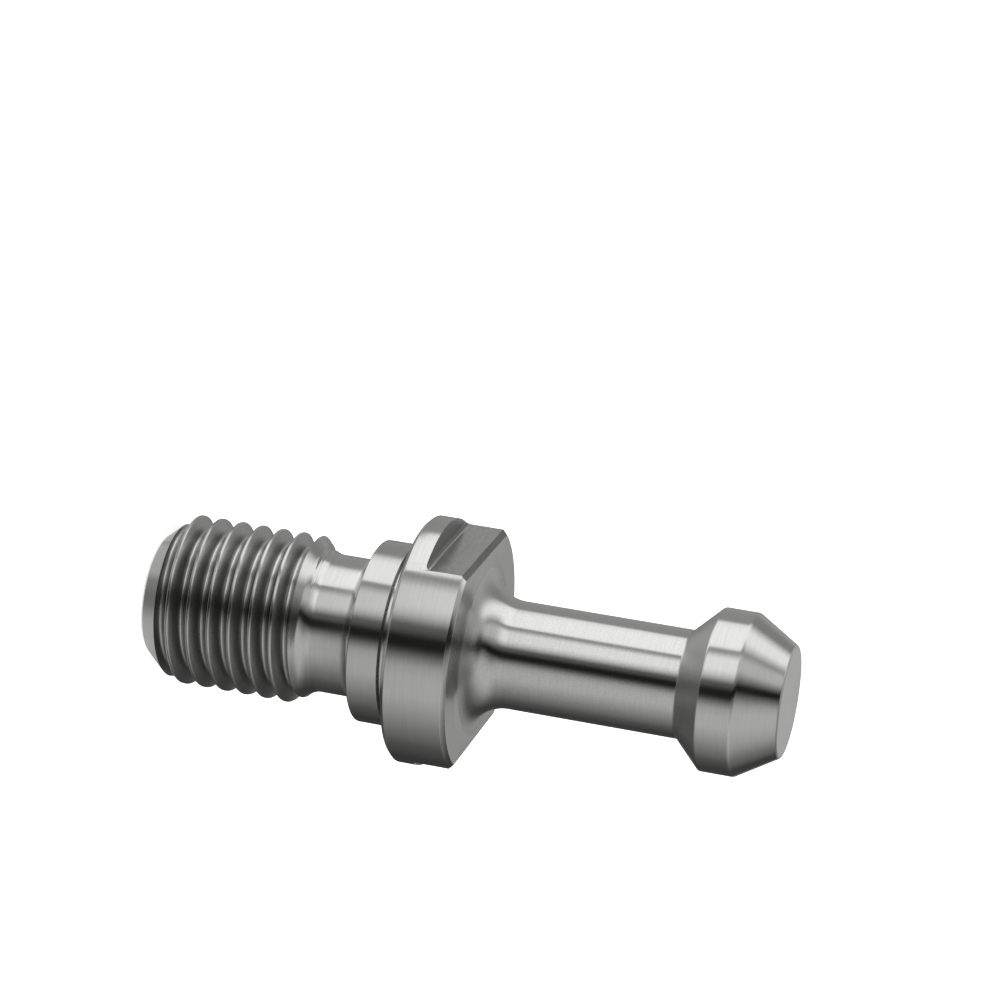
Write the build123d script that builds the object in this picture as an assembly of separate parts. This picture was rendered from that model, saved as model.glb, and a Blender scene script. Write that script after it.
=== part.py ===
from build123d import *
import os
from math import ceil, radians, sqrt, tan

# A pull stud for a 40 taper tool holder, turned from one bar and ground.
# Its thread screws into the holder's shank up to the flange's seating face, and the spindle's
# gripper pulls on the 45 degree cone under the head. Lengths are in millimetres. The origin is the
# centre of the seating face, +Z runs up the axis to the head, and the stud stands on its thread.

# lengths from the seating face
head_height = 35.0
grip_height = 28.0
shank_length = 25.0

# head
head_diameter = 15.0
head_land = 3.1
nose_diameter = 10.2
grip_angle = 45.0

# neck, which flares in a quarter round to the flange
neck_diameter = 10.0
neck_flare = 3.5

# flange with two wrench flats
flange_diameter = 23.0
flange_thickness = 6.1
flange_chamfer = 0.4
wrench_size = 18.8
wrench_ledge = 2.2
wrench_chamfer = 0.45

# pilot that centres the stud, with an undercut that also dips into the seating face
pilot_diameter = 17.0
pilot_end = 4.2
undercut_width = 1.2
undercut_depth = 0.6
undercut_dip = 0.25

# thread M16 x 2, its relief and its run-out
thread_diameter = 15.8
thread_pitch = 2.0
thread_flank_angle = 30.0
thread_end_diameter = 11.2
thread_end_angle = 41.0
relief_diameter = 12.9
relief_end = 8.3
runout_angle = 35.0
overrun = 0.6


def half(diameter):
    """The radius of a diameter."""
    return diameter / 2


def turned_blank():
    """The whole stud as one revolved outline, before its thread and its flats are cut."""
    grip_rise = half(head_diameter - neck_diameter) / tan(radians(grip_angle))
    runout_rise = half(thread_diameter - relief_diameter) / tan(radians(runout_angle))
    lead_in = half(thread_diameter - thread_end_diameter) / tan(radians(thread_end_angle))
    undercut_radius = half(pilot_diameter) - undercut_depth
    flare_waist = neck_flare * (1 - sqrt(0.5))
    flare = [
        (half(neck_diameter) + neck_flare, flange_thickness),
        (half(neck_diameter) + flare_waist, flange_thickness + flare_waist),
        (half(neck_diameter), flange_thickness + neck_flare),
    ]
    below_flare = [
        (0, -shank_length),
        (half(thread_end_diameter), -shank_length),
        (half(thread_diameter), lead_in - shank_length),
        (half(thread_diameter), -relief_end - runout_rise),
        (half(relief_diameter), -relief_end),
        (half(relief_diameter), -pilot_end),
        (half(pilot_diameter), -pilot_end),
        (half(pilot_diameter), -undercut_width),
        (undercut_radius, -undercut_width),
        (undercut_radius, undercut_dip),
        (half(pilot_diameter) + undercut_dip, 0),
        (half(flange_diameter), 0),
        (half(flange_diameter), flange_thickness),
        flare[0],
    ]
    above_flare = [
        flare[-1],
        (half(neck_diameter), grip_height - grip_rise),
        (half(head_diameter), grip_height),
        (half(head_diameter), grip_height + head_land),
        (half(nose_diameter), head_height),
        (0, head_height),
        below_flare[0],
    ]
    with BuildPart() as blank:
        with BuildSketch(Plane.XZ) as section:
            with BuildLine():
                Polyline(*below_flare)
                Spline(*flare, tangents=((-1, 0), (0, 1)))
                Polyline(*above_flare)
            make_face()
            for height in (0, flange_thickness):
                rim = section.vertices().sort_by_distance((half(flange_diameter), height, 0))[0]
                chamfer(rim, flange_chamfer)
        revolve(axis=Axis.Z)
    return blank.part


def thread_groove():
    """The right-hand groove between the thread's crests, open above the crest and past both ends.

    It runs in from below the thread's end and out in the middle of the relief, one turn at a time.
    """
    slope = tan(radians(thread_flank_angle))
    crest_flat = thread_pitch / 8
    root_flat = thread_pitch / 5
    depth = (thread_pitch - crest_flat - root_flat) / 2 / slope
    over = crest_flat / 4 / slope
    root_radius = half(thread_diameter) - depth
    way_out = (relief_end + pilot_end) / 2
    turns = ceil((shank_length - way_out) / thread_pitch + overrun)
    start = -way_out - turns * thread_pitch
    helix = Wire([
        Helix(thread_pitch, thread_pitch, root_radius, center=(0, 0, start + turn * thread_pitch))
        for turn in range(turns)
    ])
    groove = [
        (root_radius, start - root_flat / 2),
        (root_radius + depth + over, start - root_flat / 2 - (depth + over) * slope),
        (root_radius + depth + over, start + root_flat / 2 + (depth + over) * slope),
        (root_radius, start + root_flat / 2),
    ]
    with BuildPart() as cutter:
        with BuildSketch(Plane.XZ):
            with BuildLine():
                Polyline(*groove, close=True)
            make_face()
        sweep(path=helix, is_frenet=True)
    return cutter.part


def wrench_cut():
    """What is milled off one side of the flange: the flat, down to its ledge, and its chamfer."""
    flat = half(wrench_size)
    rim = half(flange_diameter)
    top = flange_thickness
    profile = [
        (flat, wrench_ledge),
        (rim + 1, wrench_ledge),
        (rim + 1, top + 1),
        (flat - wrench_chamfer - 1, top + 1),
        (flat - wrench_chamfer, top),
        (flat, top - wrench_chamfer),
    ]
    with BuildPart() as cut:
        with BuildSketch(Plane.XZ):
            with BuildLine():
                Polyline(*profile, close=True)
            make_face()
        extrude(amount=rim, both=True)
    return cut.part


def pull_stud():
    """The finished stud."""
    stud = turned_blank() - thread_groove()
    for turn in (0, 180):
        stud -= wrench_cut().rotate(Axis.Z, turn)
    return stud


os.makedirs("parts", exist_ok=True)
export_step(pull_stud(), "parts/pull_stud.step")
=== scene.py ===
"""A pull stud for a 40 taper tool holder, turned from alloy steel and ground.

The stud stands on its threaded end, as the CAD frame has it: the origin is the centre of the
flange's seating face and +Z runs up the axis to the head. Sizes in the classes are millimetres,
and every mesh is made in metres in the CAD frame.
"""

from __future__ import annotations

import logging
import math
from dataclasses import dataclass
from enum import Enum, IntEnum
from typing import Callable

import bmesh
import bpy
from mathutils import Matrix, Vector


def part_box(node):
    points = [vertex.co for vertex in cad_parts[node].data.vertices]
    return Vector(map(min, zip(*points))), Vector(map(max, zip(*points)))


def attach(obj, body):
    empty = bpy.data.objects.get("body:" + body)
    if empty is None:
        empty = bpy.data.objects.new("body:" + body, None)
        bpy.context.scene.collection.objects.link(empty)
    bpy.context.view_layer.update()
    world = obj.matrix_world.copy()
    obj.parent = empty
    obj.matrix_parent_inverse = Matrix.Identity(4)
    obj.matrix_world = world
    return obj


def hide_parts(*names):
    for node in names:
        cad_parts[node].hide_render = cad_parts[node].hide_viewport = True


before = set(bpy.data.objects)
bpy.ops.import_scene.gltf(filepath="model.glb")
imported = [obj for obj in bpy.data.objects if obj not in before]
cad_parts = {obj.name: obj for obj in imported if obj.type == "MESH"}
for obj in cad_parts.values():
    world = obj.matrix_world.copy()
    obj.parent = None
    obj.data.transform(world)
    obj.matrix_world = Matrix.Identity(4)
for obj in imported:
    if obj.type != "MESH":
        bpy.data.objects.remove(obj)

log = logging.getLogger("pull_stud")
MM = 0.001
NODE = "pull_stud"

MERGE = 0.0005  # millimetres within which doubled points become one
SPARE = 1.0  # millimetres by which a cutter reaches past what it cuts
NEAR = 0.1  # millimetres within which a face counts as being at a height
CLOSE = 0.02  # millimetres within which a face counts as lying on a surface
LEVEL = 0.97  # share of a normal along the axis past which a face counts as level


# ---------------------------------------------------------------- small tools


def linear(code: str, level: float = 1.0) -> tuple[float, float, float, float]:
    """Turn an sRGB hex colour to the linear values that Blender works in.

    Args:
        code: the colour as "#rrggbb".
        level: a factor on its brightness.

    Returns:
        Red, green, blue and an alpha of 1.
    """
    shares = [int(code[i : i + 2], 16) / 255 for i in (1, 3, 5)]
    curved = [s / 12.92 if s <= 0.04045 else ((s + 0.055) / 1.055) ** 2.4 for s in shares]
    return (curved[0] * level, curved[1] * level, curved[2] * level, 1.0)


def noise_scale(size: float) -> float:
    """Give the noise scale at which the blobs of a pattern are about a size in mm across."""
    return 2 / (size * MM)


def empty_tree(owner: bpy.types.Material | bpy.types.World) -> bpy.types.NodeTree:
    """Turn on a material's or a world's nodes and clear them.

    Args:
        owner: the material or the world.

    Returns:
        Its empty node tree.
    """
    owner.use_nodes = True
    owner.node_tree.nodes.clear()
    return owner.node_tree


def add_node(
    tree: bpy.types.NodeTree,
    kind: str,
    settings: dict[str, object] | None = None,
    inputs: dict[str | int, object] | None = None,
) -> bpy.types.Node:
    """Add one node with its settings, its values and its links.

    Args:
        tree: the node tree that gets the node.
        kind: the node's type name, such as "ShaderNodeMath".
        settings: properties of the node by name.
        inputs: a value or an output socket for each input, by name or number.

    Returns:
        The new node.
    """
    node = tree.nodes.new(kind)
    for name, value in (settings or {}).items():
        setattr(node, name, value)
    for name, value in (inputs or {}).items():
        if isinstance(value, bpy.types.NodeSocket):
            tree.links.new(value, node.inputs[name])
        else:
            node.inputs[name].default_value = value
    return node


def cylinder_fields(tree: bpy.types.NodeTree) -> dict[str, bpy.types.NodeSocket]:
    """Give a material the place of a point as seen from the axis.

    Args:
        tree: the material's node tree.

    Returns:
        Sockets in metres: place, its parts x, y and height, and away, the level way from the axis
        to it, with the length radius.
    """
    place = add_node(tree, "ShaderNodeTexCoord").outputs["Object"]
    parts = add_node(tree, "ShaderNodeSeparateXYZ", inputs={0: place})
    away = add_node(
        tree, "ShaderNodeVectorMath", {"operation": "MULTIPLY"}, {0: place, 1: (1, 1, 0)}
    )
    radius = add_node(tree, "ShaderNodeVectorMath", {"operation": "LENGTH"}, {0: away.outputs[0]})
    return {
        "place": place,
        "x": parts.outputs["X"],
        "y": parts.outputs["Y"],
        "height": parts.outputs["Z"],
        "away": away.outputs[0],
        "radius": radius.outputs["Value"],
    }


def background_ray(tree: bpy.types.NodeTree) -> bpy.types.NodeSocket:
    """Tell the rays that find a plain white background from the rays that carry light.

    Args:
        tree: the node tree of the floor or the world.

    Returns:
        1 for the rays of the camera, of gloss and of glass, and 0 for all others.
    """
    seen = add_node(tree, "ShaderNodeLightPath").outputs
    found = seen["Is Camera Ray"]
    for other in ("Is Glossy Ray", "Is Transmission Ray"):
        either = add_node(
            tree, "ShaderNodeMath", {"operation": "MAXIMUM"}, {0: found, 1: seen[other]}
        )
        found = either.outputs[0]
    return found


# ---------------------------------------------------------------- finishes


@dataclass(frozen=True)
class TurnedSteel:
    """Hardened alloy steel with a fine turned finish.

    The tool leaves rings a few hundredths of a millimetre apart. They spread a reflection along
    the axis and keep it sharp round the axis, and they show as fine lines where the metal is
    bright. The rings are drawn about a fifth of a millimetre apart, so that they show.

    Between root_mm and crest_mm from the axis the colour is taken times the flanks' level, which
    paints shade in a thread's grooves and leaves the colour as it is at 1. Small specks are taken
    times speck_level in the same way.
    """

    name: str = "turned_steel"
    colour: str = "#cdcdca"
    dull_colour: str = "#c6c6c3"
    tint_range: tuple[float, float] = (0.3, 0.7)
    roughness: float = 0.16
    roughness_spread: float = 0.04
    patch_mm: float = 9.0
    patch_range: tuple[float, float] = (0.35, 0.65)
    anisotropy: float = 0.75
    ring_pitch_mm: float = 0.22
    ring_depth_mm: float = 0.004
    ring_length: float = 0.35
    rings_by_height: float = 1.0
    grain_mm: float = 0.22
    grain_share: float = 0.25
    speck_mm: float = 0.35
    speck_range: tuple[float, float] = (0.79, 0.82)
    speck_level: float = 1.0
    flank_shade_level: float = 1.0
    root_mm: float = 0.0
    root_fade_mm: tuple[float, float] = (0.04, 0.15)
    crest_mm: float = 100.0
    crest_fade_mm: float = 0.12

    def rings(
        self, tree: bpy.types.NodeTree, at: dict[str, bpy.types.NodeSocket]
    ) -> bpy.types.NodeSocket:
        """Draw the tool's rings, each a fraction of a turn long and of its own brightness.

        Args:
            tree: the material's node tree.
            at: the cylinder fields.

        Returns:
            The rings' strength, about 0.5.
        """
        reach = self.ring_pitch_mm * MM / 2 / self.ring_length
        outward = add_node(
            tree, "ShaderNodeVectorMath", {"operation": "NORMALIZE"}, {0: at["away"]}
        )
        round_axis = add_node(
            tree,
            "ShaderNodeVectorMath",
            {"operation": "SCALE"},
            {0: outward.outputs[0], "Scale": reach},
        )
        height = add_node(
            tree,
            "ShaderNodeMath",
            {"operation": "MULTIPLY"},
            {0: at["height"], 1: self.rings_by_height},
        )
        up = add_node(tree, "ShaderNodeCombineXYZ", inputs={2: height.outputs[0]})
        spot = add_node(
            tree,
            "ShaderNodeVectorMath",
            {"operation": "ADD"},
            {0: round_axis.outputs[0], 1: up.outputs[0]},
        )
        drawn = add_node(
            tree,
            "ShaderNodeTexNoise",
            {"noise_dimensions": "4D"},
            {
                "Vector": spot.outputs[0],
                "W": at["radius"],
                "Scale": noise_scale(self.ring_pitch_mm),
                "Detail": 1.0,
                "Roughness": 0.5,
            },
        )
        return drawn.outputs["Fac"]

    def roughness_at(
        self, tree: bpy.types.NodeTree, at: dict[str, bpy.types.NodeSocket]
    ) -> bpy.types.NodeSocket:
        """Vary the roughness in soft patches.

        Args:
            tree: the material's node tree.
            at: the cylinder fields.

        Returns:
            The roughness.
        """
        patches = add_node(
            tree,
            "ShaderNodeTexNoise",
            inputs={"Vector": at["place"], "Scale": noise_scale(self.patch_mm), "Detail": 3.0},
        )
        start, stop = self.patch_range
        low = self.roughness - self.roughness_spread / 2
        high = self.roughness + self.roughness_spread / 2
        varied = add_node(
            tree,
            "ShaderNodeMapRange",
            inputs={0: patches.outputs["Fac"], 1: start, 2: stop, 3: low, 4: high},
        )
        return varied.outputs[0]

    def on_flank(
        self, tree: bpy.types.NodeTree, at: dict[str, bpy.types.NodeSocket]
    ) -> bpy.types.NodeSocket:
        """Find the thread's flanks, between its root and its crest, where shade is painted.

        Args:
            tree: the material's node tree.
            at: the cylinder fields.

        Returns:
            1 on the flanks, fading to 0 at the root and at the crest.
        """
        crest, root = self.crest_mm * MM, self.root_mm * MM
        start, stop = self.root_fade_mm
        below_crest = add_node(
            tree,
            "ShaderNodeMapRange",
            inputs={0: at["radius"], 1: crest - self.crest_fade_mm * MM, 2: crest, 3: 1.0, 4: 0.0},
        )
        above_root = add_node(
            tree,
            "ShaderNodeMapRange",
            inputs={0: at["radius"], 1: root + start * MM, 2: root + stop * MM},
        )
        both = add_node(
            tree,
            "ShaderNodeMath",
            {"operation": "MULTIPLY"},
            {0: below_crest.outputs[0], 1: above_root.outputs[0]},
        )
        return both.outputs[0]

    def material(self) -> bpy.types.Material:
        """Make the material.

        Returns:
            The material with its rings, grain, patches, specks and flanks.
        """
        made = bpy.data.materials.new(self.name)
        tree = empty_tree(made)
        at = cylinder_fields(tree)
        grain, specks = (
            add_node(
                tree,
                "ShaderNodeTexNoise",
                inputs={"Vector": at["place"], "Scale": noise_scale(size), "Detail": detail},
            ).outputs["Fac"]
            for size, detail in ((self.grain_mm, 1.0), (self.speck_mm, 0.0))
        )
        tooled = add_node(
            tree,
            "ShaderNodeMix",
            {"data_type": "FLOAT"},
            {0: self.grain_share, 2: self.rings(tree, at), 3: grain},
        )
        bump = add_node(
            tree,
            "ShaderNodeBump",
            inputs={
                "Height": tooled.outputs[0],
                "Distance": self.ring_depth_mm * MM,
                "Strength": 1.0,
            },
        )
        bright, speckled = (
            add_node(tree, "ShaderNodeMapRange", inputs={0: value, 1: start, 2: stop})
            for value, (start, stop) in (
                (tooled.outputs[0], self.tint_range),
                (specks, self.speck_range),
            )
        )
        tint = add_node(
            tree,
            "ShaderNodeMix",
            {"data_type": "RGBA"},
            {0: bright.outputs[0], 6: linear(self.dull_colour), 7: linear(self.colour)},
        )
        colour = tint.outputs[2]
        # Specks darken the colour as small nicks, and the flanks' level darkens it as painted shade
        # in the grooves.
        for share, level in (
            (speckled.outputs[0], self.speck_level),
            (self.on_flank(tree, at), self.flank_shade_level),
        ):
            darkened = add_node(
                tree,
                "ShaderNodeMix",
                {"data_type": "RGBA", "blend_type": "MULTIPLY"},
                {0: share, 6: colour, 7: linear("#ffffff", level)},
            )
            colour = darkened.outputs[2]
        tangent = add_node(tree, "ShaderNodeTangent", {"direction_type": "RADIAL", "axis": "Z"})
        steel = add_node(
            tree,
            "ShaderNodeBsdfPrincipled",
            inputs={
                "Base Color": colour,
                "Metallic": 1.0,
                "Roughness": self.roughness_at(tree, at),
                "Anisotropic": self.anisotropy,
                "Anisotropic Rotation": 0.25,
                "Tangent": tangent.outputs[0],
                "Normal": bump.outputs[0],
            },
        )
        add_node(tree, "ShaderNodeOutputMaterial", inputs={"Surface": steel.outputs[0]})
        return made


@dataclass(frozen=True)
class PolishedNeckSteel(TurnedSteel):
    """The same steel where the neck was turned and then blasted lightly and polished.

    Its reflections are the sharpest on the stud, and the bright ones look granular.
    """

    name: str = "polished_neck_steel"
    colour: str = "#cfcfcc"
    dull_colour: str = "#c3c3c0"
    roughness: float = 0.15
    ring_pitch_mm: float = 0.26
    ring_depth_mm: float = 0.003
    grain_mm: float = 0.3
    grain_share: float = 0.6
    flare_roughness: float = 0.42
    polish_end_mm: float = 5.3
    flare_end_mm: float = 7.6

    def roughness_at(
        self, tree: bpy.types.NodeTree, at: dict[str, bpy.types.NodeSocket]
    ) -> bpy.types.NodeSocket:
        """Let the polish fade up the flare, where the cloth doesn't reach.

        Args:
            tree: the material's node tree.
            at: the cylinder fields.

        Returns:
            The roughness.
        """
        start, stop = self.polish_end_mm * MM, self.flare_end_mm * MM
        faded = add_node(
            tree,
            "ShaderNodeMapRange",
            inputs={0: at["radius"], 1: start, 2: stop, 3: self.roughness, 4: self.flare_roughness},
        )
        return faded.outputs[0]


@dataclass(frozen=True)
class FormedSteel(TurnedSteel):
    """The same steel under the head, cut by the side of a form tool, which leaves it satin."""

    name: str = "formed_steel"
    colour: str = "#cacac7"
    dull_colour: str = "#c2c2bf"
    roughness: float = 0.34
    anisotropy: float = 0.2
    ring_depth_mm: float = 0.003


@dataclass(frozen=True)
class SatinReliefSteel(TurnedSteel):
    """The same steel in the relief, turned slowly with a round tool and left smooth and satin."""

    name: str = "satin_relief_steel"
    roughness: float = 0.15
    roughness_spread: float = 0.05
    anisotropy: float = 0.6
    ring_pitch_mm: float = 0.4
    ring_depth_mm: float = 0.004


@dataclass(frozen=True)
class FacedSteel(TurnedSteel):
    """The same steel where a face was turned across, which leaves rings round the axis.

    They blur a reflection, so that a flat face shows a soft grey and no sharp image.
    """

    name: str = "faced_steel"
    colour: str = "#b6b6b3"
    dull_colour: str = "#aeaeab"
    roughness: float = 0.28
    anisotropy: float = 0.3
    ring_pitch_mm: float = 0.25
    ring_depth_mm: float = 0.003


@dataclass(frozen=True)
class HeadFaceSteel(FacedSteel):
    """The same steel on the head's end, which a grinding wheel has left duller and paler."""

    name: str = "head_face_steel"
    colour: str = "#dcdcd9"
    dull_colour: str = "#d2d2cf"
    roughness: float = 0.44
    anisotropy: float = 0.1


@dataclass(frozen=True)
class MilledSteel(TurnedSteel):
    """The same steel where the side of an end mill cut it, smoother and a little duller."""

    name: str = "milled_steel"
    colour: str = "#d2d2cf"
    dull_colour: str = "#c2c2bf"
    roughness: float = 0.26
    anisotropy: float = 0.3
    ring_pitch_mm: float = 0.6
    ring_depth_mm: float = 0.0006
    ring_length: float = 1.2
    grain_mm: float = 0.6


@dataclass(frozen=True)
class EndMilledSteel(MilledSteel):
    """The same steel where the end of the mill swept it, which leaves it rough, with darker colours
    as painted shade.
    """

    name: str = "end_milled_steel"
    # darker colours: painted shade on the ledges under the flats and on the flats' chamfers
    colour: str = "#989895"
    dull_colour: str = "#868683"
    roughness: float = 0.34


@dataclass(frozen=True)
class ThreadSteel(TurnedSteel):
    """The same steel on the thread's crests and roots, cut in several passes.

    The crests and the roots keep the steel's colour. Between them the colour is darkened as painted
    shade in the thread's grooves, and there are small dark nicks.
    """

    name: str = "thread_steel"
    colour: str = "#d4d4d1"
    dull_colour: str = "#bebebb"
    roughness: float = 0.17
    anisotropy: float = 0.7
    ring_depth_mm: float = 0.0005
    rings_by_height: float = 0.1
    grain_share: float = 0.35
    speck_level: float = 0.6
    # painted shade in the grooves: the colour between root and crest is darkened a little
    flank_shade_level: float = 0.84
    root_mm: float = 6.66
    crest_mm: float = 7.88


@dataclass(frozen=True)
class FlankSteel(ThreadSteel):
    """The same steel on the flanks that face the head, which the tool has torn a little rougher."""

    name: str = "thread_flank_steel"
    roughness: float = 0.3
    anisotropy: float = 0.4
    # painted shade in the grooves, on the flanks that face the head
    flank_shade_level: float = 0.86


@dataclass(frozen=True)
class ShadedTailFlankSteel(ThreadSteel):
    """The same steel on the flanks that face the stud's end, darkened strongly by painted shade."""

    name: str = "shaded_tail_flank_steel"
    # painted shade: the flanks that face the stud's end are darkened strongly
    flank_shade_level: float = 0.16


# ---------------------------------------------------------------- forming


@dataclass(frozen=True)
class Corner:
    """One corner of a turned outline: its radius and height, and how it is rounded."""

    radius: float
    height: float
    rounding: float = 0.0
    segments: int = 4


def new_wire(bm: bmesh.types.BMesh, corners: list[Corner]) -> None:
    """Draw a half outline in the XZ plane and round its corners.

    Args:
        bm: an empty bmesh, which gets the wire.
        corners: the outline's corners in order.
    """
    verts = [bm.verts.new((c.radius * MM, 0.0, c.height * MM)) for c in corners]
    for one, two in zip(verts, verts[1:]):
        bm.edges.new((one, two))
    for before, corner, after, vert in zip(corners, corners[1:], corners[2:], verts[1:]):
        if corner.rounding:
            way_in = Vector((corner.radius - before.radius, corner.height - before.height))
            way_out = Vector((after.radius - corner.radius, after.height - corner.height))
            reach = corner.rounding * math.tan(way_in.angle(way_out) / 2) * MM
            bmesh.ops.bevel(
                bm,
                geom=[vert],
                offset=reach,
                offset_type="OFFSET",
                segments=corner.segments,
                profile=0.5,
                affect="VERTICES",
                material=-1,
                clamp_overlap=False,
            )


def turned(corners: list[Corner], steps: int, merge: float = MERGE) -> bmesh.types.BMesh:
    """Turn a closed solid from a half outline that starts and ends on the axis.

    Args:
        corners: the outline's corners in order, from the axis to the axis.
        steps: how many steps make a full turn.
        merge: how near doubled points are, in millimetres.

    Returns:
        The solid, with its normals pointing out.
    """
    bm = bmesh.new()
    new_wire(bm, corners)
    bmesh.ops.spin(
        bm,
        geom=bm.verts[:] + bm.edges[:],
        cent=(0, 0, 0),
        axis=(0, 0, 1),
        angle=math.tau,
        steps=steps,
        use_merge=True,
    )
    bmesh.ops.remove_doubles(bm, verts=bm.verts[:], dist=merge * MM)
    bmesh.ops.recalc_face_normals(bm, faces=bm.faces[:])
    return bm


def verts_of(
    geometry: list[bmesh.types.BMVert | bmesh.types.BMEdge | bmesh.types.BMFace],
) -> list[bmesh.types.BMVert]:
    """Pick the vertices out of what an operator gives back."""
    return [item for item in geometry if isinstance(item, bmesh.types.BMVert)]


def to_object(bm: bmesh.types.BMesh, name: str) -> bpy.types.Object:
    """Put a bmesh in a new smooth object at the origin and free the bmesh.

    Args:
        bm: the shape.
        name: the new object's name.

    Returns:
        The object, linked to the scene.
    """
    mesh = bpy.data.meshes.new(name)
    bm.to_mesh(mesh)
    bm.free()
    mesh.shade_smooth()
    made = bpy.data.objects.new(name, mesh)
    bpy.context.scene.collection.objects.link(made)
    return made


def apply_modifiers(target: bpy.types.Object) -> None:
    """Replace an object's mesh by what its modifiers make of it.

    Args:
        target: the object, which has no modifiers afterwards.
    """
    bpy.context.view_layer.update()
    graph = bpy.context.evaluated_depsgraph_get()
    done = bpy.data.meshes.new_from_object(
        target.evaluated_get(graph), preserve_all_data_layers=True, depsgraph=graph
    )
    target.modifiers.clear()
    target.data = done
    done.name = target.name


class Cut(Enum):
    """What a cutter does to the piece."""

    AWAY = "DIFFERENCE"
    COMMON = "INTERSECT"


def cut(target: bpy.types.Object, cutter: bpy.types.Object, how: Cut) -> None:
    """Cut one solid by another and delete the cutter.

    Args:
        target: the piece that is cut.
        cutter: the solid that cuts it.
        how: whether the cutter is taken away or only what both share is kept.
    """
    modifier = target.modifiers.new("cut", "BOOLEAN")
    modifier.operation = how.value
    modifier.solver = "MANIFOLD"
    modifier.object = cutter
    apply_modifiers(target)
    bpy.data.objects.remove(cutter)


def break_edges(target: bpy.types.Object, width: float, angle: float) -> None:
    """Take the sharpness off a piece's edges.

    Args:
        target: the piece.
        width: the edge break in millimetres.
        angle: edges that turn more than this many degrees are broken.
    """
    bevel = target.modifiers.new("edge_break", "BEVEL")
    bevel.width = width * MM
    bevel.segments = 2
    bevel.limit_method = "ANGLE"
    bevel.angle_limit = math.radians(angle)
    bevel.harden_normals = False
    apply_modifiers(target)


def smooth_faces(target: bpy.types.Object, angle: float) -> None:
    """Weight the normals by area, so that flat faces stay flat to the eye beside their edges.

    Args:
        target: the piece.
        angle: edges that turn more than this many degrees stay sharp.
    """
    target.data.set_sharp_from_angle(angle=math.radians(angle))
    weights = target.modifiers.new("face_weights", "WEIGHTED_NORMAL")
    weights.mode = "FACE_AREA"
    weights.weight = 50
    weights.keep_sharp = True
    apply_modifiers(target)


def give_finishes(
    target: bpy.types.Object,
    finishes: list[TurnedSteel],
    choose: Callable[[Vector, Vector], int],
) -> None:
    """Give each face of a piece its finish.

    Args:
        target: the piece.
        finishes: the piece's finishes.
        choose: gives the number of the finish from a face's middle, in millimetres, and normal.
    """
    target.data.materials.clear()
    for finish in finishes:
        target.data.materials.append(finish.material())
    for face in target.data.polygons:
        face.material_index = choose(face.center / MM, face.normal)


# ---------------------------------------------------------------- the stud


class BodyFinish(IntEnum):
    """How a face of the flanged body was made."""

    TURNED = 0
    POLISHED = 1
    FACED = 2
    SIDE_MILLED = 3
    END_MILLED = 4
    FORMED = 5
    END_FACED = 6


class ShankFinish(IntEnum):
    """How a face of the threaded shank was made."""

    TURNED = 0
    THREADED = 1
    RELIEVED = 2
    # flanks that face the stud's end, darkened with painted shade
    SHADED_TAIL_FLANK = 3
    FLANK = 4


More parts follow.
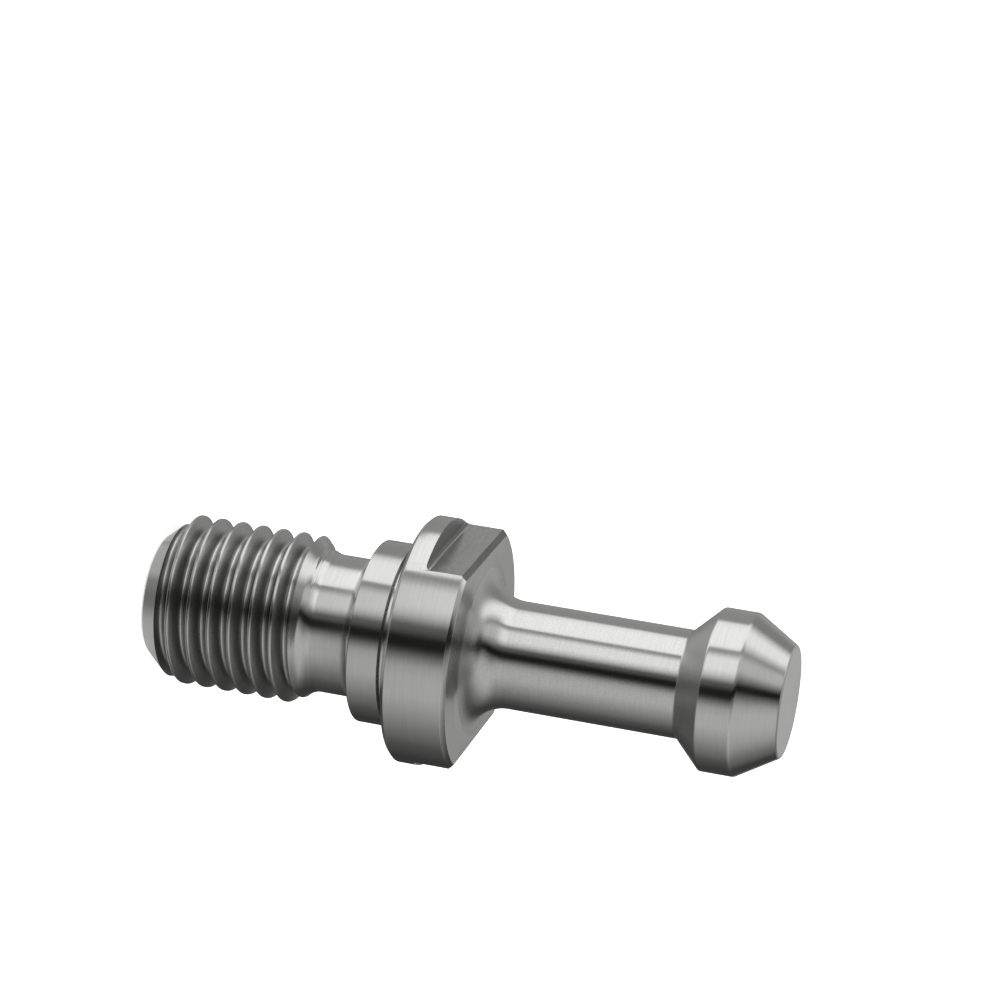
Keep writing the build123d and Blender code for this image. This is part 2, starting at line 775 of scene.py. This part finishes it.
@dataclass
class FlangedBody:
    """Everything above the thread's relief: pilot, flange, neck and head.

    The fields that end in share are limits of a face's normal, along the axis or across a flat,
    by which the face's finish is told.
    """

    steps: int = 256
    pilot_radius: float = 8.5
    pilot_end: float = -4.2
    pilot_rounding: float = 0.2
    undercut_radius: float = 7.9
    undercut_end: float = -1.2
    undercut_dip: float = 0.25
    undercut_rounding: float = 0.15
    undercut_edge: float = 0.06
    seat_inner_edge: float = 0.03
    seat_outer_edge: float = 0.05
    flange_radius: float = 11.5
    flange_top: float = 6.1
    flange_chamfer: float = 0.4
    flange_edge: float = 0.08
    neck_radius: float = 5.0
    flare: float = 3.5
    grip_top: float = 28.0
    grip_rounding: float = 0.3
    head_radius: float = 7.5
    head_land: float = 3.1
    land_rounding: float = 0.7
    nose_radius: float = 5.1
    nose_rounding: float = 0.4
    head_top: float = 35.0
    flat_distance: float = 9.4
    flat_chamfer: float = 0.45
    ledge: float = 2.2
    ledge_rounding: float = 0.4
    edge_break: float = 0.07
    edge_angle: float = 38.0
    ledge_share: float = 0.5
    chamfer_share: float = 0.4
    flat_share: float = 0.9
    end_face_share: float = 0.6
    grip_share: float = 0.3

    @property
    def grip_foot(self) -> float:
        """Give the height at which the neck ends and the 45 degree grip cone starts."""
        return self.grip_top - (self.head_radius - self.neck_radius)

    def outline(self) -> list[Corner]:
        """List the turned outline's corners.

        Returns:
            The corners from the hidden end face up to the head's face.
        """
        rim, top, chamfer = self.flange_radius, self.flange_top, self.flange_chamfer
        return [
            Corner(0.0, self.pilot_end),
            Corner(self.pilot_radius, self.pilot_end, self.pilot_rounding),
            Corner(self.pilot_radius, self.undercut_end, self.undercut_edge, 3),
            Corner(self.undercut_radius, self.undercut_end, self.undercut_rounding),
            Corner(self.undercut_radius, self.undercut_dip, self.undercut_rounding),
            Corner(self.pilot_radius + self.undercut_dip, 0.0, self.seat_inner_edge, 2),
            Corner(rim - chamfer, 0.0, self.seat_outer_edge, 3),
            Corner(rim, chamfer, self.flange_edge, 3),
            Corner(rim, top - chamfer, self.flange_edge, 3),
            Corner(rim - chamfer, top, self.flange_edge, 3),
            Corner(self.neck_radius, top, self.flare, 24),
            Corner(self.neck_radius, self.grip_foot, self.grip_rounding, 6),
            Corner(self.head_radius, self.grip_top, self.grip_rounding, 6),
            Corner(self.head_radius, self.grip_top + self.head_land, self.land_rounding, 8),
            Corner(self.nose_radius, self.head_top, self.nose_rounding, 8),
            Corner(0.0, self.head_top),
        ]

    def flat_cutter(self, side: int) -> bpy.types.Object:
        """Make the solid that mills one wrench flat down to its ledge, with its chamfer.

        Args:
            side: 1 for the flat that faces +X and -1 for the one that faces -X.

        Returns:
            The cutter.
        """
        reach, flat, top = self.flange_radius + SPARE, self.flat_distance, self.flange_top
        corners = [
            (reach, self.ledge),
            (reach, top + SPARE),
            (flat - self.flat_chamfer - SPARE, top + SPARE),
            (flat, top - self.flat_chamfer),
            (flat, self.ledge),
        ]
        bm = bmesh.new()
        verts = [bm.verts.new((x * MM, -reach * MM, z * MM)) for x, z in corners]
        bm.faces.new(verts)
        bmesh.ops.bevel(
            bm,
            geom=[verts[-1]],
            offset=self.ledge_rounding * MM,
            offset_type="OFFSET",
            segments=6,
            profile=0.5,
            affect="VERTICES",
            material=-1,
        )
        pushed = bmesh.ops.extrude_face_region(bm, geom=bm.faces[:])
        bmesh.ops.translate(bm, vec=(0, 2 * reach * MM, 0), verts=verts_of(pushed["geom"]))
        if side < 0:
            half_turn = Matrix.Rotation(math.pi, 3, "Z")
            bmesh.ops.rotate(bm, cent=(0, 0, 0), matrix=half_turn, verts=bm.verts[:])
        bmesh.ops.recalc_face_normals(bm, faces=bm.faces[:])
        return to_object(bm, "flat_cutter")

    def build(self) -> bpy.types.Object:
        """Turn the body and mill its two flats.

        Returns:
            The piece.
        """
        body = to_object(turned(self.outline(), self.steps), "flanged_body")
        for side in (1, -1):
            cut(body, self.flat_cutter(side), Cut.AWAY)
        break_edges(body, self.edge_break, self.edge_angle)
        smooth_faces(body, self.edge_angle)
        return body

    def milled_finish(self, middle: Vector, normal: Vector) -> BodyFinish | None:
        """Tell whether the mill made a face, and with its side or its end.

        Args:
            middle: the face's middle in millimetres.
            normal: the face's normal.

        Returns:
            The finish, or None for a face that the mill hasn't touched.
        """
        if not self.ledge - NEAR < middle.z < self.flange_top + CLOSE:
            return None
        if middle.z < self.ledge + NEAR and normal.z > self.ledge_share:
            return BodyFinish.END_MILLED
        across = abs(normal.x)
        by_flat = abs(middle.x) > self.flat_distance - self.flat_chamfer - CLOSE
        inside_rim = middle.xy.length < self.flange_radius - self.flange_chamfer - CLOSE
        if not (by_flat and inside_rim) or across < self.chamfer_share:
            return None
        return BodyFinish.SIDE_MILLED if across > self.flat_share else BodyFinish.END_MILLED

    def finish_at(self, middle: Vector, normal: Vector) -> BodyFinish:
        """Tell how the steel was worked at a face.

        Args:
            middle: the face's middle in millimetres.
            normal: the face's normal.

        Returns:
            The finish.
        """
        milled = self.milled_finish(middle, normal)
        if milled is not None:
            return milled
        if middle.z > self.head_top - self.nose_rounding and normal.z > self.end_face_share:
            return BodyFinish.END_FACED
        if abs(normal.z) > LEVEL:
            return BodyFinish.FACED
        if self.grip_foot - NEAR < middle.z < self.grip_top and normal.z < -self.grip_share:
            return BodyFinish.FORMED
        on_neck = self.flange_top < middle.z < self.grip_foot + self.grip_rounding
        if on_neck and middle.xy.length < self.neck_radius + self.flare:
            return BodyFinish.POLISHED
        return BodyFinish.TURNED

    def dress(self, body: bpy.types.Object) -> None:
        """Give the body its finishes, in the order of BodyFinish.

        Args:
            body: the piece.
        """
        finishes = [
            TurnedSteel(),
            PolishedNeckSteel(),
            FacedSteel(),
            MilledSteel(),
            EndMilledSteel(),
            FormedSteel(),
            HeadFaceSteel(),
        ]
        give_finishes(body, finishes, self.finish_at)


@dataclass
class ThreadedShank:
    """The M16 x 2 thread with its lead-in chamfer, its run-out cone and its relief.

    The fields that end in share are limits of a face's normal along the axis, by which the face's
    finish is told.
    """

    steps: int = 320
    end: float = -25.0
    end_radius: float = 5.6
    end_rounding: float = 0.15
    lead_in_angle: float = 41.0
    blank_spare: float = 0.1
    crest_radius: float = 7.9
    crest_flat: float = 0.25
    crest_rounding: float = 0.12
    pitch: float = 2.0
    flank_angle: float = 30.0
    root_rounding: float = 0.27
    root_phase: float = -6.16
    spare_turns: int = 2
    relief_radius: float = 6.45
    relief_end: float = -9.0
    relief_rounding: float = 1.2
    runout_angle: float = 45.0
    runout_rounding: float = 2.0
    runout_lead: float = 0.7
    runout_slack: float = 0.03
    shoulder: float = 1.6
    top: float = -4.2
    sharp_angle: float = 40.0
    flank_share: float = 0.3
    tail_flank_share: float = 0.2

    def blank(self) -> bpy.types.Object:
        """Turn the shank without its thread, a little wider than the crests.

        Returns:
            The shank's blank.
        """
        wide = self.crest_radius + self.blank_spare
        lead_in = (wide - self.end_radius) / math.tan(math.radians(self.lead_in_angle))
        rise = (wide - self.relief_radius) / math.tan(math.radians(self.runout_angle))
        corners = [
            Corner(0.0, self.end),
            Corner(self.end_radius, self.end, self.end_rounding, 4),
            Corner(wide, self.end + lead_in),
            Corner(wide, self.relief_end - rise),
            Corner(self.relief_radius, self.relief_end, self.runout_rounding, 12),
            Corner(self.relief_radius, self.top, self.relief_rounding, 10),
            Corner(self.relief_radius + self.shoulder, self.top),
            Corner(0.0, self.top),
        ]
        return to_object(turned(corners, self.steps), "threaded_shank")

    def groove(self, start: float) -> list[Corner]:
        """List the corners of one pitch of the thread, from crest to crest.

        Args:
            start: the height of the middle of the lower crest.

        Returns:
            The corners, going up.
        """
        slope = math.tan(math.radians(self.flank_angle))
        sharp_root = self.crest_radius - (self.pitch - self.crest_flat) / 2 / slope
        half_crest = self.crest_flat / 2
        return [
            Corner(self.crest_radius, start),
            Corner(self.crest_radius, start + half_crest, self.crest_rounding, 3),
            Corner(sharp_root, start + self.pitch / 2, self.root_rounding, 7),
            Corner(self.crest_radius, start + self.pitch - half_crest, self.crest_rounding, 3),
            Corner(self.crest_radius, start + self.pitch),
        ]

    def rod(self) -> bpy.types.Object:
        """Wind one pitch of the thread into a closed threaded rod longer than the shank.

        Returns:
            The rod.
        """
        below = math.ceil((self.root_phase - self.end) / self.pitch) + self.spare_turns
        first = self.root_phase - (below + 0.5) * self.pitch
        turns = math.ceil((self.top - first) / self.pitch) + self.spare_turns
        bm = bmesh.new()
        new_wire(bm, self.groove(first))
        bmesh.ops.spin(
            bm,
            geom=bm.verts[:] + bm.edges[:],
            cent=(0, 0, 0),
            axis=(0, 0, 1),
            dvec=(0, 0, self.pitch * MM / self.steps),
            angle=math.tau,
            steps=self.steps,
            use_merge=False,
        )
        one_turn = bm.verts[:] + bm.edges[:] + bm.faces[:]
        for turn in range(1, turns):
            copied = bmesh.ops.duplicate(bm, geom=one_turn)["geom"]
            bmesh.ops.translate(bm, vec=(0, 0, turn * self.pitch * MM), verts=verts_of(copied))
        bmesh.ops.remove_doubles(bm, verts=bm.verts[:], dist=MERGE * MM)
        for height, way in ((self.end - SPARE, -1), (self.top + SPARE, 1)):
            sliced = bmesh.ops.bisect_plane(
                bm,
                geom=bm.verts[:] + bm.edges[:] + bm.faces[:],
                plane_co=(0, 0, height * MM),
                plane_no=(0, 0, way),
                clear_outer=True,
            )
            rim = [item for item in sliced["geom_cut"] if isinstance(item, bmesh.types.BMEdge)]
            bmesh.ops.contextual_create(bm, geom=rim)
        bmesh.ops.recalc_face_normals(bm, faces=bm.faces[:])
        return to_object(bm, "thread_rod")

    def build(self) -> bpy.types.Object:
        """Cut the thread into the shank.

        Returns:
            The piece.
        """
        shank = self.blank()
        cut(shank, self.rod(), Cut.COMMON)
        smooth_faces(shank, self.sharp_angle)
        return shank

    def runout_radius(self, height: float) -> float:
        """Give the radius of the relief's run-out at a height."""
        slope = math.tan(math.radians(self.runout_angle))
        return self.relief_radius + (self.relief_end - height) * slope

    def runout_start(self) -> float:
        """Give the height at which the relief starts to cut into the thread's crests."""
        rise = (self.crest_radius - self.relief_radius) / math.tan(math.radians(self.runout_angle))
        return self.relief_end - rise

    def finish_at(self, middle: Vector, normal: Vector) -> ShankFinish:
        """Tell whether a face belongs to the lead-in and the end face, the thread or the relief.

        Args:
            middle: the face's middle in millimetres.
            normal: the face's normal.

        Returns:
            The finish.
        """
        radius = middle.xy.length
        slope = math.tan(math.radians(self.lead_in_angle))
        lead_in = self.end_radius + (middle.z - self.end) * slope
        if abs(radius - lead_in) < CLOSE or abs(normal.z) > LEVEL:
            return ShankFinish.TURNED
        above_thread = middle.z > self.runout_start() - self.runout_lead
        if above_thread and radius > self.runout_radius(middle.z) - self.runout_slack:
            return ShankFinish.RELIEVED
        if normal.z > self.flank_share:
            return ShankFinish.FLANK
        # Flanks that face the stud's end get the finish with painted shade.
        return ShankFinish.SHADED_TAIL_FLANK if normal.z < -self.tail_flank_share else ShankFinish.THREADED

    def dress(self, shank: bpy.types.Object) -> None:
        """Give the shank its finishes, in the order of ShankFinish.

        Args:
            shank: the piece.
        """
        finishes = [
            TurnedSteel(name="shank_steel"),
            ThreadSteel(),
            SatinReliefSteel(),
            ShadedTailFlankSteel(),
            FlankSteel(),
        ]
        give_finishes(shank, finishes, self.finish_at)


# ---------------------------------------------------------------- the studio


@dataclass(frozen=True)
class Card:
    """One card of the light tent: where it stands, from and to in degrees, and how bright it is.

    A card that starts where it stops is a narrow strip, and the tone fades from it to the next.

    The angle is counted from the camera's side of the tent, up to 180 on the left of a viewer
    who stands at the camera with the stud upright, and down to -180 on the right.
    """

    start: float
    stop: float
    level: float


@dataclass
class LightTent:
    """A light tent of grey and white cards round the stud, which only its reflections show.

    Its floor has a near, a low and a far row of cards, its wall the far and a high row, and its
    roof one more. Each row fades into the next one. The fields that end in fade are pairs of
    distances from the axis, or of heights, between which that row takes over. The skirt, which is
    the floor's inner part, starts darker as a painted shadow of the stud on the floor, and the foot
    inside it is a nearly even grey, painted shade where the stud hides the floor from the light.
    """

    azimuth: float = -110.2
    radius: float = 250.0
    height: float = 560.0
    gap: float = 0.2
    bend: float = 30.0
    steps: int = 128
    merge: float = 0.01
    brightest: float = 1.8
    lean: float = 15.0
    lean_height: float = 320.0
    skirt_start: float = 13.0
    skirt_stop: float = 48.0
    # The skirt's and the foot's darker tones are painted shade of the stud on the floor.
    skirt_shade_share: float = 0.3
    foot_shade_level: float = 0.5
    foot_limit: float = 0.6
    foot_mix: float = 0.55
    foot_before: float = 2.0
    foot_after: float = 1.0
    low_fade: tuple[float, float] = (50.0, 64.0)
    far_fade: tuple[float, float] = (115.0, 160.0)
    high_fade: tuple[float, float] = (20.0, 110.0)
    roof_start: float = 400.0
    roof_gap: float = 10.0
    near_cards: tuple[Card, ...] = (
        Card(-180, -168, 0.3),
        Card(-158, -120, 0.13),
        Card(-84, -84, 0.26),
        Card(-55, -32, 0.42),
        Card(-10, -10, 0.12),
        Card(-6, 2, 0.05),
        Card(9, 13, 0.15),
        Card(28, 46, 1.05),
        Card(56, 60, 0.5),
        Card(66, 98, 1.55),
        Card(112, 150, 0.5),
        Card(166, 180, 0.3),
    )
    low_cards: tuple[Card, ...] = (
        Card(-180, -168, 0.14),
        Card(-158, -132, 0.05),
        Card(-107, -107, 0.11),
        Card(-84, -84, 0.26),
        Card(-60, -60, 0.48),
        Card(-50, -32, 0.57),
        Card(-23, -23, 0.50),
        Card(-10, -10, 0.08),
        Card(-6, 2, 0.015),
        Card(9, 13, 0.14),
        Card(22, 22, 0.66),
        Card(28, 46, 0.82),
        Card(56, 60, 0.37),
        Card(62, 92, 1.25),
        Card(101, 101, 1.0),
        Card(106, 106, 0.6),
        Card(110, 150, 0.35),
        Card(166, 180, 0.2),
    )
    far_cards: tuple[Card, ...] = (
        Card(-180, -168, 0.3),
        Card(-158, -132, 0.06),
        Card(-110, -110, 0.12),
        Card(-86, -86, 0.29),
        Card(-62, -62, 0.51),
        Card(-50, -34, 0.63),
        Card(-23, -23, 0.52),
        Card(-10, -10, 0.08),
        Card(-6, 2, 0.015),
        Card(9, 12, 0.12),
        Card(22, 22, 0.86),
        Card(30, 46, 1.22),
        Card(56, 59, 0.38),
        Card(63, 96, 1.36),
        Card(106, 108, 1.25),
        Card(114, 150, 0.38),
        Card(166, 180, 0.32),
    )
    high_cards: tuple[Card, ...] = (
        Card(-180, -168, 0.58),
        Card(-157, -141, 0.06),
        Card(-133, -133, 0.14),
        Card(-116, -116, 0.28),
        Card(-107, -107, 0.40),
        Card(-98, -98, 0.51),
        Card(-76, -50, 0.64),
        Card(-35, -35, 0.55),
        Card(-19, -19, 0.22),
        Card(-8, 2, 0.01),
        Card(12, 12, 0.26),
        Card(27, 46, 0.70),
        Card(57, 60, 0.40),
        Card(70, 70, 0.85),
        Card(80, 99, 1.25),
        Card(109, 109, 0.80),
        Card(118, 140, 0.31),
        Card(166, 180, 0.62),
    )
    roof_cards: tuple[Card, ...] = (
        Card(-180, -135, 0.15),
        Card(-105, -105, 0.22),
        Card(-72, -72, 0.52),
        Card(-48, -48, 0.30),
        Card(-20, 24, 0.012),
        Card(42, 42, 0.36),
        Card(62, 100, 0.55),
        Card(125, 180, 0.22),
    )

    def row(
        self, tree: bpy.types.NodeTree, share: bpy.types.NodeSocket, cards: tuple[Card, ...]
    ) -> bpy.types.NodeSocket:
        """Hang one row of cards, whose tones fade into each other where they leave a gap.

        Args:
            tree: the tent's node tree.
            share: the place round the tent, from 0 to 1.
            cards: the row's cards in order.

        Returns:
            The row's tone, with the brightest card's as 1.
        """
        ramp = add_node(tree, "ShaderNodeValToRGB", inputs={0: share})
        stops = ramp.color_ramp.elements
        stops[0].position, stops[1].position = 0.0, 1.0
        stops[0].color = (cards[0].level / self.brightest,) * 3 + (1.0,)
        stops[1].color = (cards[-1].level / self.brightest,) * 3 + (1.0,)
        for card in cards:
            for angle in sorted({card.start, card.stop}):
                if abs(angle) < 180:
                    stop = stops.new((angle + 180) / 360)
                    stop.color = (card.level / self.brightest,) * 3 + (1.0,)
        return ramp.outputs[0]

    def place_round(
        self, tree: bpy.types.NodeTree, at: dict[str, bpy.types.NodeSocket]
    ) -> bpy.types.NodeSocket:
        """Give the place round the tent, where the cards lean over as they go up.

        Args:
            tree: the tent's node tree.
            at: the cylinder fields.

        Returns:
            A share from 0 to 1, which is 0.5 on the camera's side.
        """
        leaned = add_node(
            tree,
            "ShaderNodeMapRange",
            inputs={0: at["height"], 2: self.lean_height * MM, 4: math.radians(self.lean)},
        )
        angle = add_node(tree, "ShaderNodeMath", {"operation": "ARCTAN2"}, {0: at["y"], 1: at["x"]})
        turned_by = add_node(
            tree,
            "ShaderNodeMath",
            {"operation": "SUBTRACT"},
            {0: math.radians(self.azimuth), 1: angle.outputs[0]},
        )
        upright = add_node(
            tree,
            "ShaderNodeMath",
            {"operation": "SUBTRACT"},
            {0: turned_by.outputs[0], 1: leaned.outputs[0]},
        )
        share = add_node(
            tree,
            "ShaderNodeMath",
            {"operation": "MULTIPLY_ADD"},
            {0: upright.outputs[0], 1: 1 / math.tau, 2: 0.5},
        )
        wrapped = add_node(tree, "ShaderNodeMath", {"operation": "FRACT"}, {0: share.outputs[0]})
        return wrapped.outputs[0]

    def build(self, floor: float) -> bpy.types.Object:
        """Turn the tent's skirt, wall and roof.

        Args:
            floor: the floor's height in millimetres.

        Returns:
            The tent.
        """
        low = floor + self.gap
        corners = [
            Corner(0.0, low),
            Corner(self.skirt_start, low),
            Corner(self.radius, low, self.bend, 8),
            Corner(self.radius, low + self.height, self.bend, 8),
            Corner(0.0, low + self.height),
        ]
        tent = to_object(turned(corners, self.steps, self.merge), "light_tent")
        tent.visible_camera = False
        tent.visible_diffuse = False
        tent.visible_shadow = False
        tent.visible_transmission = False
        return tent

    def dress(self, tent: bpy.types.Object, floor: float) -> None:
        """Hang the cards, with the skirt and the foot where the stud stands.

        Args:
            tent: the tent.
            floor: the floor's height in millimetres.
        """
        made = bpy.data.materials.new("tent_cards")
        tree = empty_tree(made)
        at = cylinder_fields(tree)
        top = floor + self.gap + self.height
        place = self.place_round(tree, at)
        near, low, far, high, roof = (
            self.row(tree, place, cards)
            for cards in (
                self.near_cards,
                self.low_cards,
                self.far_cards,
                self.high_cards,
                self.roof_cards,
            )
        )
        # Painted shadow: the skirt darkens the near row towards the stud.
        shaded = add_node(
            tree,
            "ShaderNodeMapRange",
            inputs={
                0: at["radius"],
                1: self.skirt_start * MM,
                2: self.skirt_stop * MM,
                3: self.skirt_shade_share,
            },
        )
        faded = add_node(
            tree, "ShaderNodeMath", {"operation": "MULTIPLY"}, {0: near, 1: shaded.outputs[0]}
        )
        tone = faded.outputs[0]
        for along, (start, stop), following in (
            (at["radius"], self.low_fade, low),
            (at["radius"], self.far_fade, far),
            (at["height"], self.high_fade, high),
            (at["height"], (self.roof_start, top - self.roof_gap), roof),
        ):
            share = add_node(
                tree, "ShaderNodeMapRange", inputs={0: along, 1: start * MM, 2: stop * MM}
            )
            mixed = add_node(
                tree,
                "ShaderNodeMix",
                {"data_type": "FLOAT"},
                {0: share.outputs[0], 2: tone, 3: following},
            )
            tone = mixed.outputs[0]
        # Painted shade: the foot under the stud is a nearly even darker grey.
        limited = add_node(
            tree,
            "ShaderNodeMath",
            {"operation": "MINIMUM"},
            {0: low, 1: self.foot_limit / self.brightest},
        )
        under = add_node(
            tree,
            "ShaderNodeMix",
            {"data_type": "FLOAT"},
            {0: self.foot_mix, 2: self.foot_shade_level / self.brightest, 3: limited.outputs[0]},
        )
        past_foot = add_node(
            tree,
            "ShaderNodeMapRange",
            inputs={
                0: at["radius"],
                1: (self.skirt_start - self.foot_before) * MM,
                2: (self.skirt_start + self.foot_after) * MM,
            },
        )
        whole = add_node(
            tree,
            "ShaderNodeMix",
            {"data_type": "FLOAT"},
            {0: past_foot.outputs[0], 2: under.outputs[0], 3: tone},
        )
        strength = add_node(
            tree,
            "ShaderNodeMath",
            {"operation": "MULTIPLY"},
            {0: whole.outputs[0], 1: self.brightest},
        )
        glow = add_node(tree, "ShaderNodeEmission", inputs={"Strength": strength.outputs[0]})
        add_node(tree, "ShaderNodeOutputMaterial", inputs={"Surface": glow.outputs[0]})
        tent.data.materials.append(made)


@dataclass(frozen=True)
class Lamp:
    """One square soft lamp: its place and size in metres, and its power in watts."""

    name: str
    place: tuple[float, float, float]
    size: float
    power: float

    def hang(self) -> None:
        """Hang the lamp, turned to the stud, out of sight of the steel's reflections."""
        data = bpy.data.lights.new(self.name, "AREA")
        data.size = self.size
        data.energy = self.power
        lamp = bpy.data.objects.new(self.name, data)
        lamp.location = self.place
        lamp.rotation_mode = "QUATERNION"
        lamp.rotation_quaternion = Vector(self.place).to_track_quat("Z", "Y")
        lamp.visible_glossy = False
        bpy.context.scene.collection.objects.link(lamp)


@dataclass
class Studio:
    """A plain white floor under soft lamps, a light tent for the reflections and a camera."""

    camera_place: tuple[float, float, float] = (-117.87, -280.58, 80.32)
    camera_azimuth: float = -110.2
    camera_elevation: float = 13.8
    camera_roll: float = 99.2
    camera_lens: float = 123.02
    camera_sensor: float = 36.0
    camera_reach: tuple[float, float] = (10.0, 20000.0)
    floor_radius: float = 3000.0
    floor_steps: int = 96
    floor_colour: str = "#f4f4f4"
    floor_glow: float = 0.6
    world_level: float = 0.5
    lamps: tuple[Lamp, ...] = (
        Lamp("top_lamp", (-0.2, -0.3, 1.0), 1.2, 14.0),
        Lamp("side_lamp", (0.9, -0.5, 0.6), 0.8, 4.0),
    )

    def camera(self) -> None:
        """Set up the camera, rolled so that the stud's axis runs across the picture."""
        turn, rise, roll = (
            math.radians(a) for a in (self.camera_azimuth, self.camera_elevation, self.camera_roll)
        )
        back = Vector(
            (math.cos(turn) * math.cos(rise), math.sin(turn) * math.cos(rise), math.sin(rise))
        )
        level_right = Vector((0, 0, 1)).cross(back).normalized()
        level_up = back.cross(level_right)
        right = level_right * math.cos(roll) + level_up * math.sin(roll)
        up = back.cross(right)
        data = bpy.data.cameras.new("camera")
        data.lens = self.camera_lens
        data.sensor_width = self.camera_sensor
        data.clip_start, data.clip_end = (reach * MM for reach in self.camera_reach)
        made = bpy.data.objects.new("camera", data)
        facing = Matrix((right, up, back)).transposed().to_4x4()
        made.matrix_world = Matrix.Translation(Vector(self.camera_place) * MM) @ facing
        bpy.context.scene.collection.objects.link(made)
        bpy.context.scene.camera = made

    def floor(self, height: float) -> None:
        """Lay a floor of white paper that keeps the stud's shadow.

        Args:
            height: the floor's height in metres.
        """
        bm = bmesh.new()
        bmesh.ops.create_circle(
            bm, cap_ends=True, segments=self.floor_steps, radius=self.floor_radius * MM
        )
        bmesh.ops.translate(bm, vec=(0, 0, height), verts=bm.verts[:])
        floor = to_object(bm, "floor")
        made = bpy.data.materials.new("white_paper")
        tree = empty_tree(made)
        lift = add_node(
            tree,
            "ShaderNodeMath",
            {"operation": "MULTIPLY"},
            {0: background_ray(tree), 1: self.floor_glow},
        )
        paper = add_node(tree, "ShaderNodeBsdfDiffuse", inputs={"Color": linear(self.floor_colour)})
        glow = add_node(tree, "ShaderNodeEmission", inputs={"Strength": lift.outputs[0]})
        both = add_node(
            tree, "ShaderNodeAddShader", inputs={0: paper.outputs[0], 1: glow.outputs[0]}
        )
        add_node(tree, "ShaderNodeOutputMaterial", inputs={"Surface": both.outputs[0]})
        floor.data.materials.append(made)

    def world(self) -> None:
        """Surround the scene with a plain grey that is white where it is seen."""
        world = bpy.data.worlds.new("world")
        bpy.context.scene.world = world
        tree = empty_tree(world)
        strength = add_node(
            tree, "ShaderNodeMapRange", inputs={0: background_ray(tree), 3: self.world_level}
        )
        sky = add_node(
            tree,
            "ShaderNodeBackground",
            inputs={"Color": linear("#ffffff"), "Strength": strength.outputs[0]},
        )
        add_node(tree, "ShaderNodeOutputWorld", inputs={"Surface": sky.outputs[0]})

    def build(self) -> None:
        """Set up the whole studio."""
        low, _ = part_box(NODE)
        self.camera()
        self.floor(low.z)
        light_tent = LightTent(azimuth=self.camera_azimuth)
        tent = light_tent.build(low.z / MM)
        light_tent.dress(tent, low.z / MM)
        for lamp in self.lamps:
            lamp.hang()
        self.world()
        bpy.context.scene.view_settings.view_transform = "Standard"


def main() -> None:
    """Build the stud and its studio, and log each piece's number of faces."""
    logging.basicConfig(level=logging.INFO, format="%(name)s: %(message)s")
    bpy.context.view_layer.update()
    for part in (FlangedBody(), ThreadedShank()):
        piece = part.build()
        part.dress(piece)
        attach(piece, "root")
        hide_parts(NODE)
        log.info("%s: %d faces", piece.name, len(piece.data.polygons))
    Studio().build()


if __name__ == "__main__":
    main()
